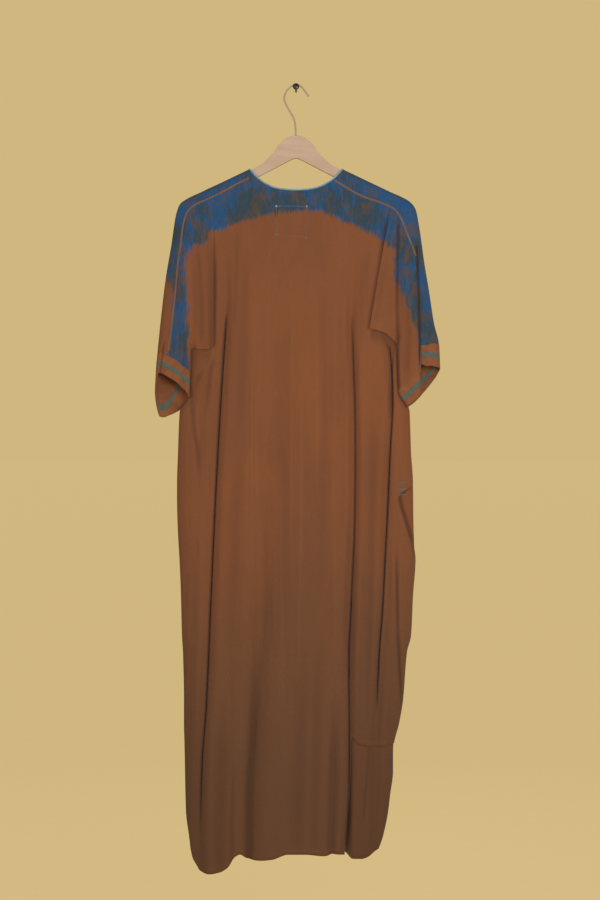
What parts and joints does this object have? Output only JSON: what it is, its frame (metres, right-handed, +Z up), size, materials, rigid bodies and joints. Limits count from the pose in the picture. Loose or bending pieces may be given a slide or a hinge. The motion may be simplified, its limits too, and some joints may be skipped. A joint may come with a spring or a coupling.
{
  "type": "button-down kaftan on a wooden hanger",
  "caption": "Long loose rust cotton kaftan with short wide banded sleeves, side slits and a curved hem, hanging flat on a wooden hanger from a wall nail; buttoned front, seen from the back.",
  "frame": {"origin": "centre of the nail's flat end at the wall, where the nail holds the hanger and the kaftan up", "axes": "+Z up, +Y into the wall, +X to the right as seen from the room; the back of the garment faces -Y and its buttoned front faces the wall"},
  "size_m": [0.575, 0.0761, 1.5805],
  "materials": {
    "rust_cloth": "matt cotton, rust brown, with a mottled blue yoke and overarm",
    "cuff_cloth": "matt cotton band with a teal line",
    "binding_cloth": "matt light-blue cotton strip",
    "button_shell": "polished brown",
    "hanger_wood": "pale worn wood, thin satin lacquer",
    "hook_wire": "bright wire",
    "nail_iron": "dark round nail head"
  },
  "bodies": {
    "root": {"back_panel": "rust_cloth", "front_left": "rust_cloth", "front_right": "rust_cloth", "placket_band": "rust_cloth", "sleeve_left": "rust_cloth", "sleeve_right": "rust_cloth", "cuff_left": "cuff_cloth", "cuff_right": "cuff_cloth", "neck_binding": "binding_cloth", "button_01": "button_shell", "button_02": "button_shell", "button_03": "button_shell", "button_04": "button_shell", "button_05": "button_shell", "button_06": "button_shell", "button_07": "button_shell", "button_08": "button_shell", "button_09": "button_shell", "button_10": "button_shell", "hanger": "hanger_wood", "hanger_hook": "hook_wire", "wall_nail": "nail_iron"}
  },
  "joints": []
}
